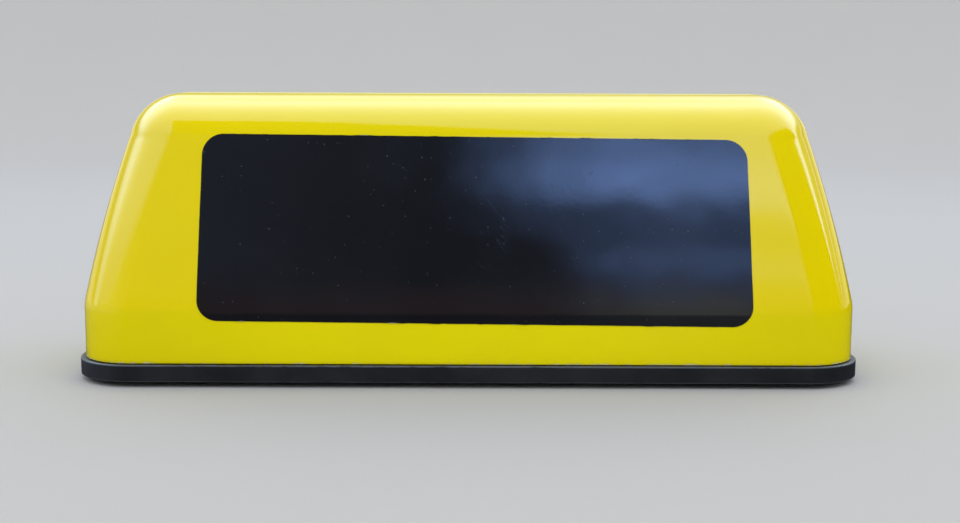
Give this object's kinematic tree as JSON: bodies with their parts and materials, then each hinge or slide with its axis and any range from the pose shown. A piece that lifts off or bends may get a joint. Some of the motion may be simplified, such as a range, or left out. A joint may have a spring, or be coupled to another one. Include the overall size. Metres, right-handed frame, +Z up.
{
  "type": "taxi roof sign",
  "caption": "Illuminated taxi roof sign: translucent yellow hood with blank black display panels, lifting off a flat black base with magnet feet.",
  "frame": {"origin": "middle of the footprint, on the plane of the magnet faces", "axes": "+X along the sign, to the right when its front face is looked at; -Y out of the front face; +Z up"},
  "size_m": [0.42, 0.13, 0.1525],
  "materials": {
    "hood": "glossy, translucent, lightly scuffed",
    "film": "glossy self-adhesive film",
    "base": "satin, worn at the edges",
    "rubber": "matt",
    "zinc": "zinc plated",
    "brass": "plain",
    "reflector": "white enamel",
    "lamp": "clear",
    "nylon": "natural"
  },
  "bodies": {
    "base": {"hood_seal": "rubber", "base_tray": "base", "magnet_screws": "zinc", "cable_grommet": "rubber", "reflector": "reflector", "reflector_screws": "zinc", "live_rail": "brass", "earth_rail": "brass", "terminal_block": "nylon", "magnet_front_left": "zinc", "magnet_boot_front_left": "rubber", "hood_screw_front_left": "zinc", "magnet_front_right": "zinc", "magnet_boot_front_right": "rubber", "hood_screw_front_right": "zinc", "magnet_rear_left": "zinc", "magnet_boot_rear_left": "rubber", "hood_screw_rear_left": "zinc", "magnet_rear_right": "zinc", "magnet_boot_rear_right": "rubber", "hood_screw_rear_right": "zinc", "lamp_left": "lamp", "lamp_clips_left": "brass", "lamp_centre": "lamp", "lamp_clips_centre": "brass", "lamp_right": "lamp", "lamp_clips_right": "brass"},
    "hood": {"hood": "hood", "front_film": "film", "rear_film": "film"}
  },
  "joints": [
    {"name": "hood_lift", "type": "slide", "parent": "base", "child": "hood", "axis": [0, 0, 1], "range_m": [0, 0.16]}
  ]
}
